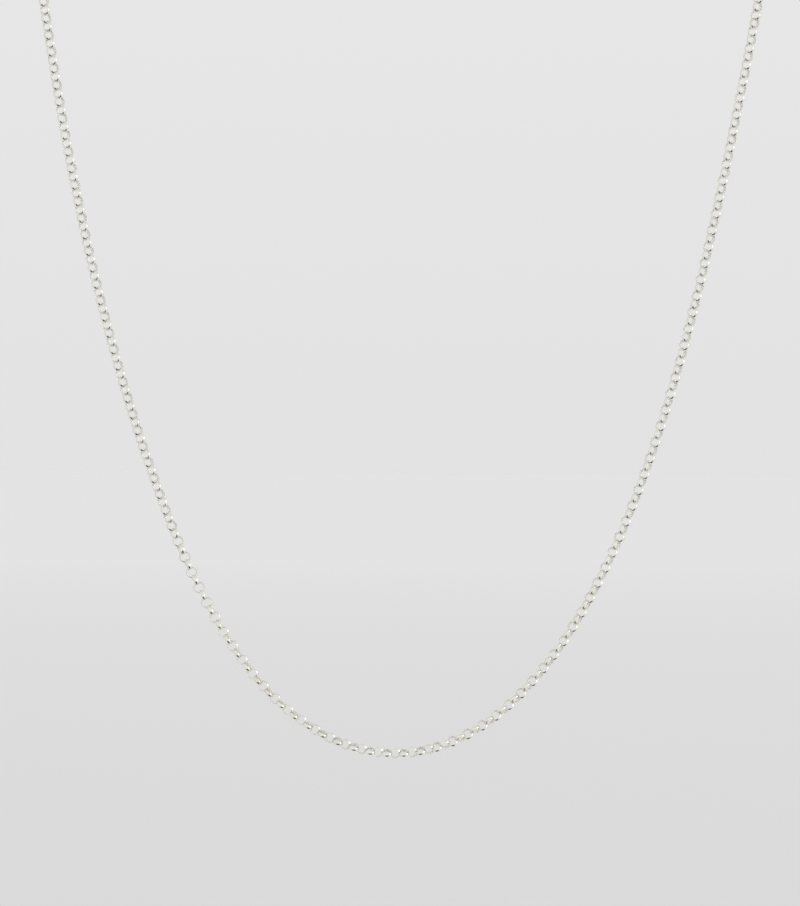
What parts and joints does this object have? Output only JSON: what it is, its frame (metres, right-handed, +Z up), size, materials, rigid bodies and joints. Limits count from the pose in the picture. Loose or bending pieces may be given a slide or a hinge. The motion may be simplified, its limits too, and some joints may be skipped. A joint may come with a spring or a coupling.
{
  "type": "rolo chain necklace",
  "caption": "Fine necklace chain of round interlocked links, each turned a quarter from the next, hanging in a deep U and closed at the back by a plain ring clasp.",
  "frame": {"origin": "middle of the neck hollow, at the height of the stretch of chain that goes round the back of the neck", "axes": "+Z up, +X to the right of the picture, +Y to the back of the neck; the front hangs in a plane facing -Y"},
  "size_m": [0.1064, 0.0678, 0.1217],
  "materials": {
    "silver": "polished sterling silver",
    "silver_clasp": "polished sterling silver"
  },
  "bodies": {
    "root": {"chain_front": "silver", "chain_back": "silver", "clasp": "silver_clasp"}
  },
  "joints": []
}
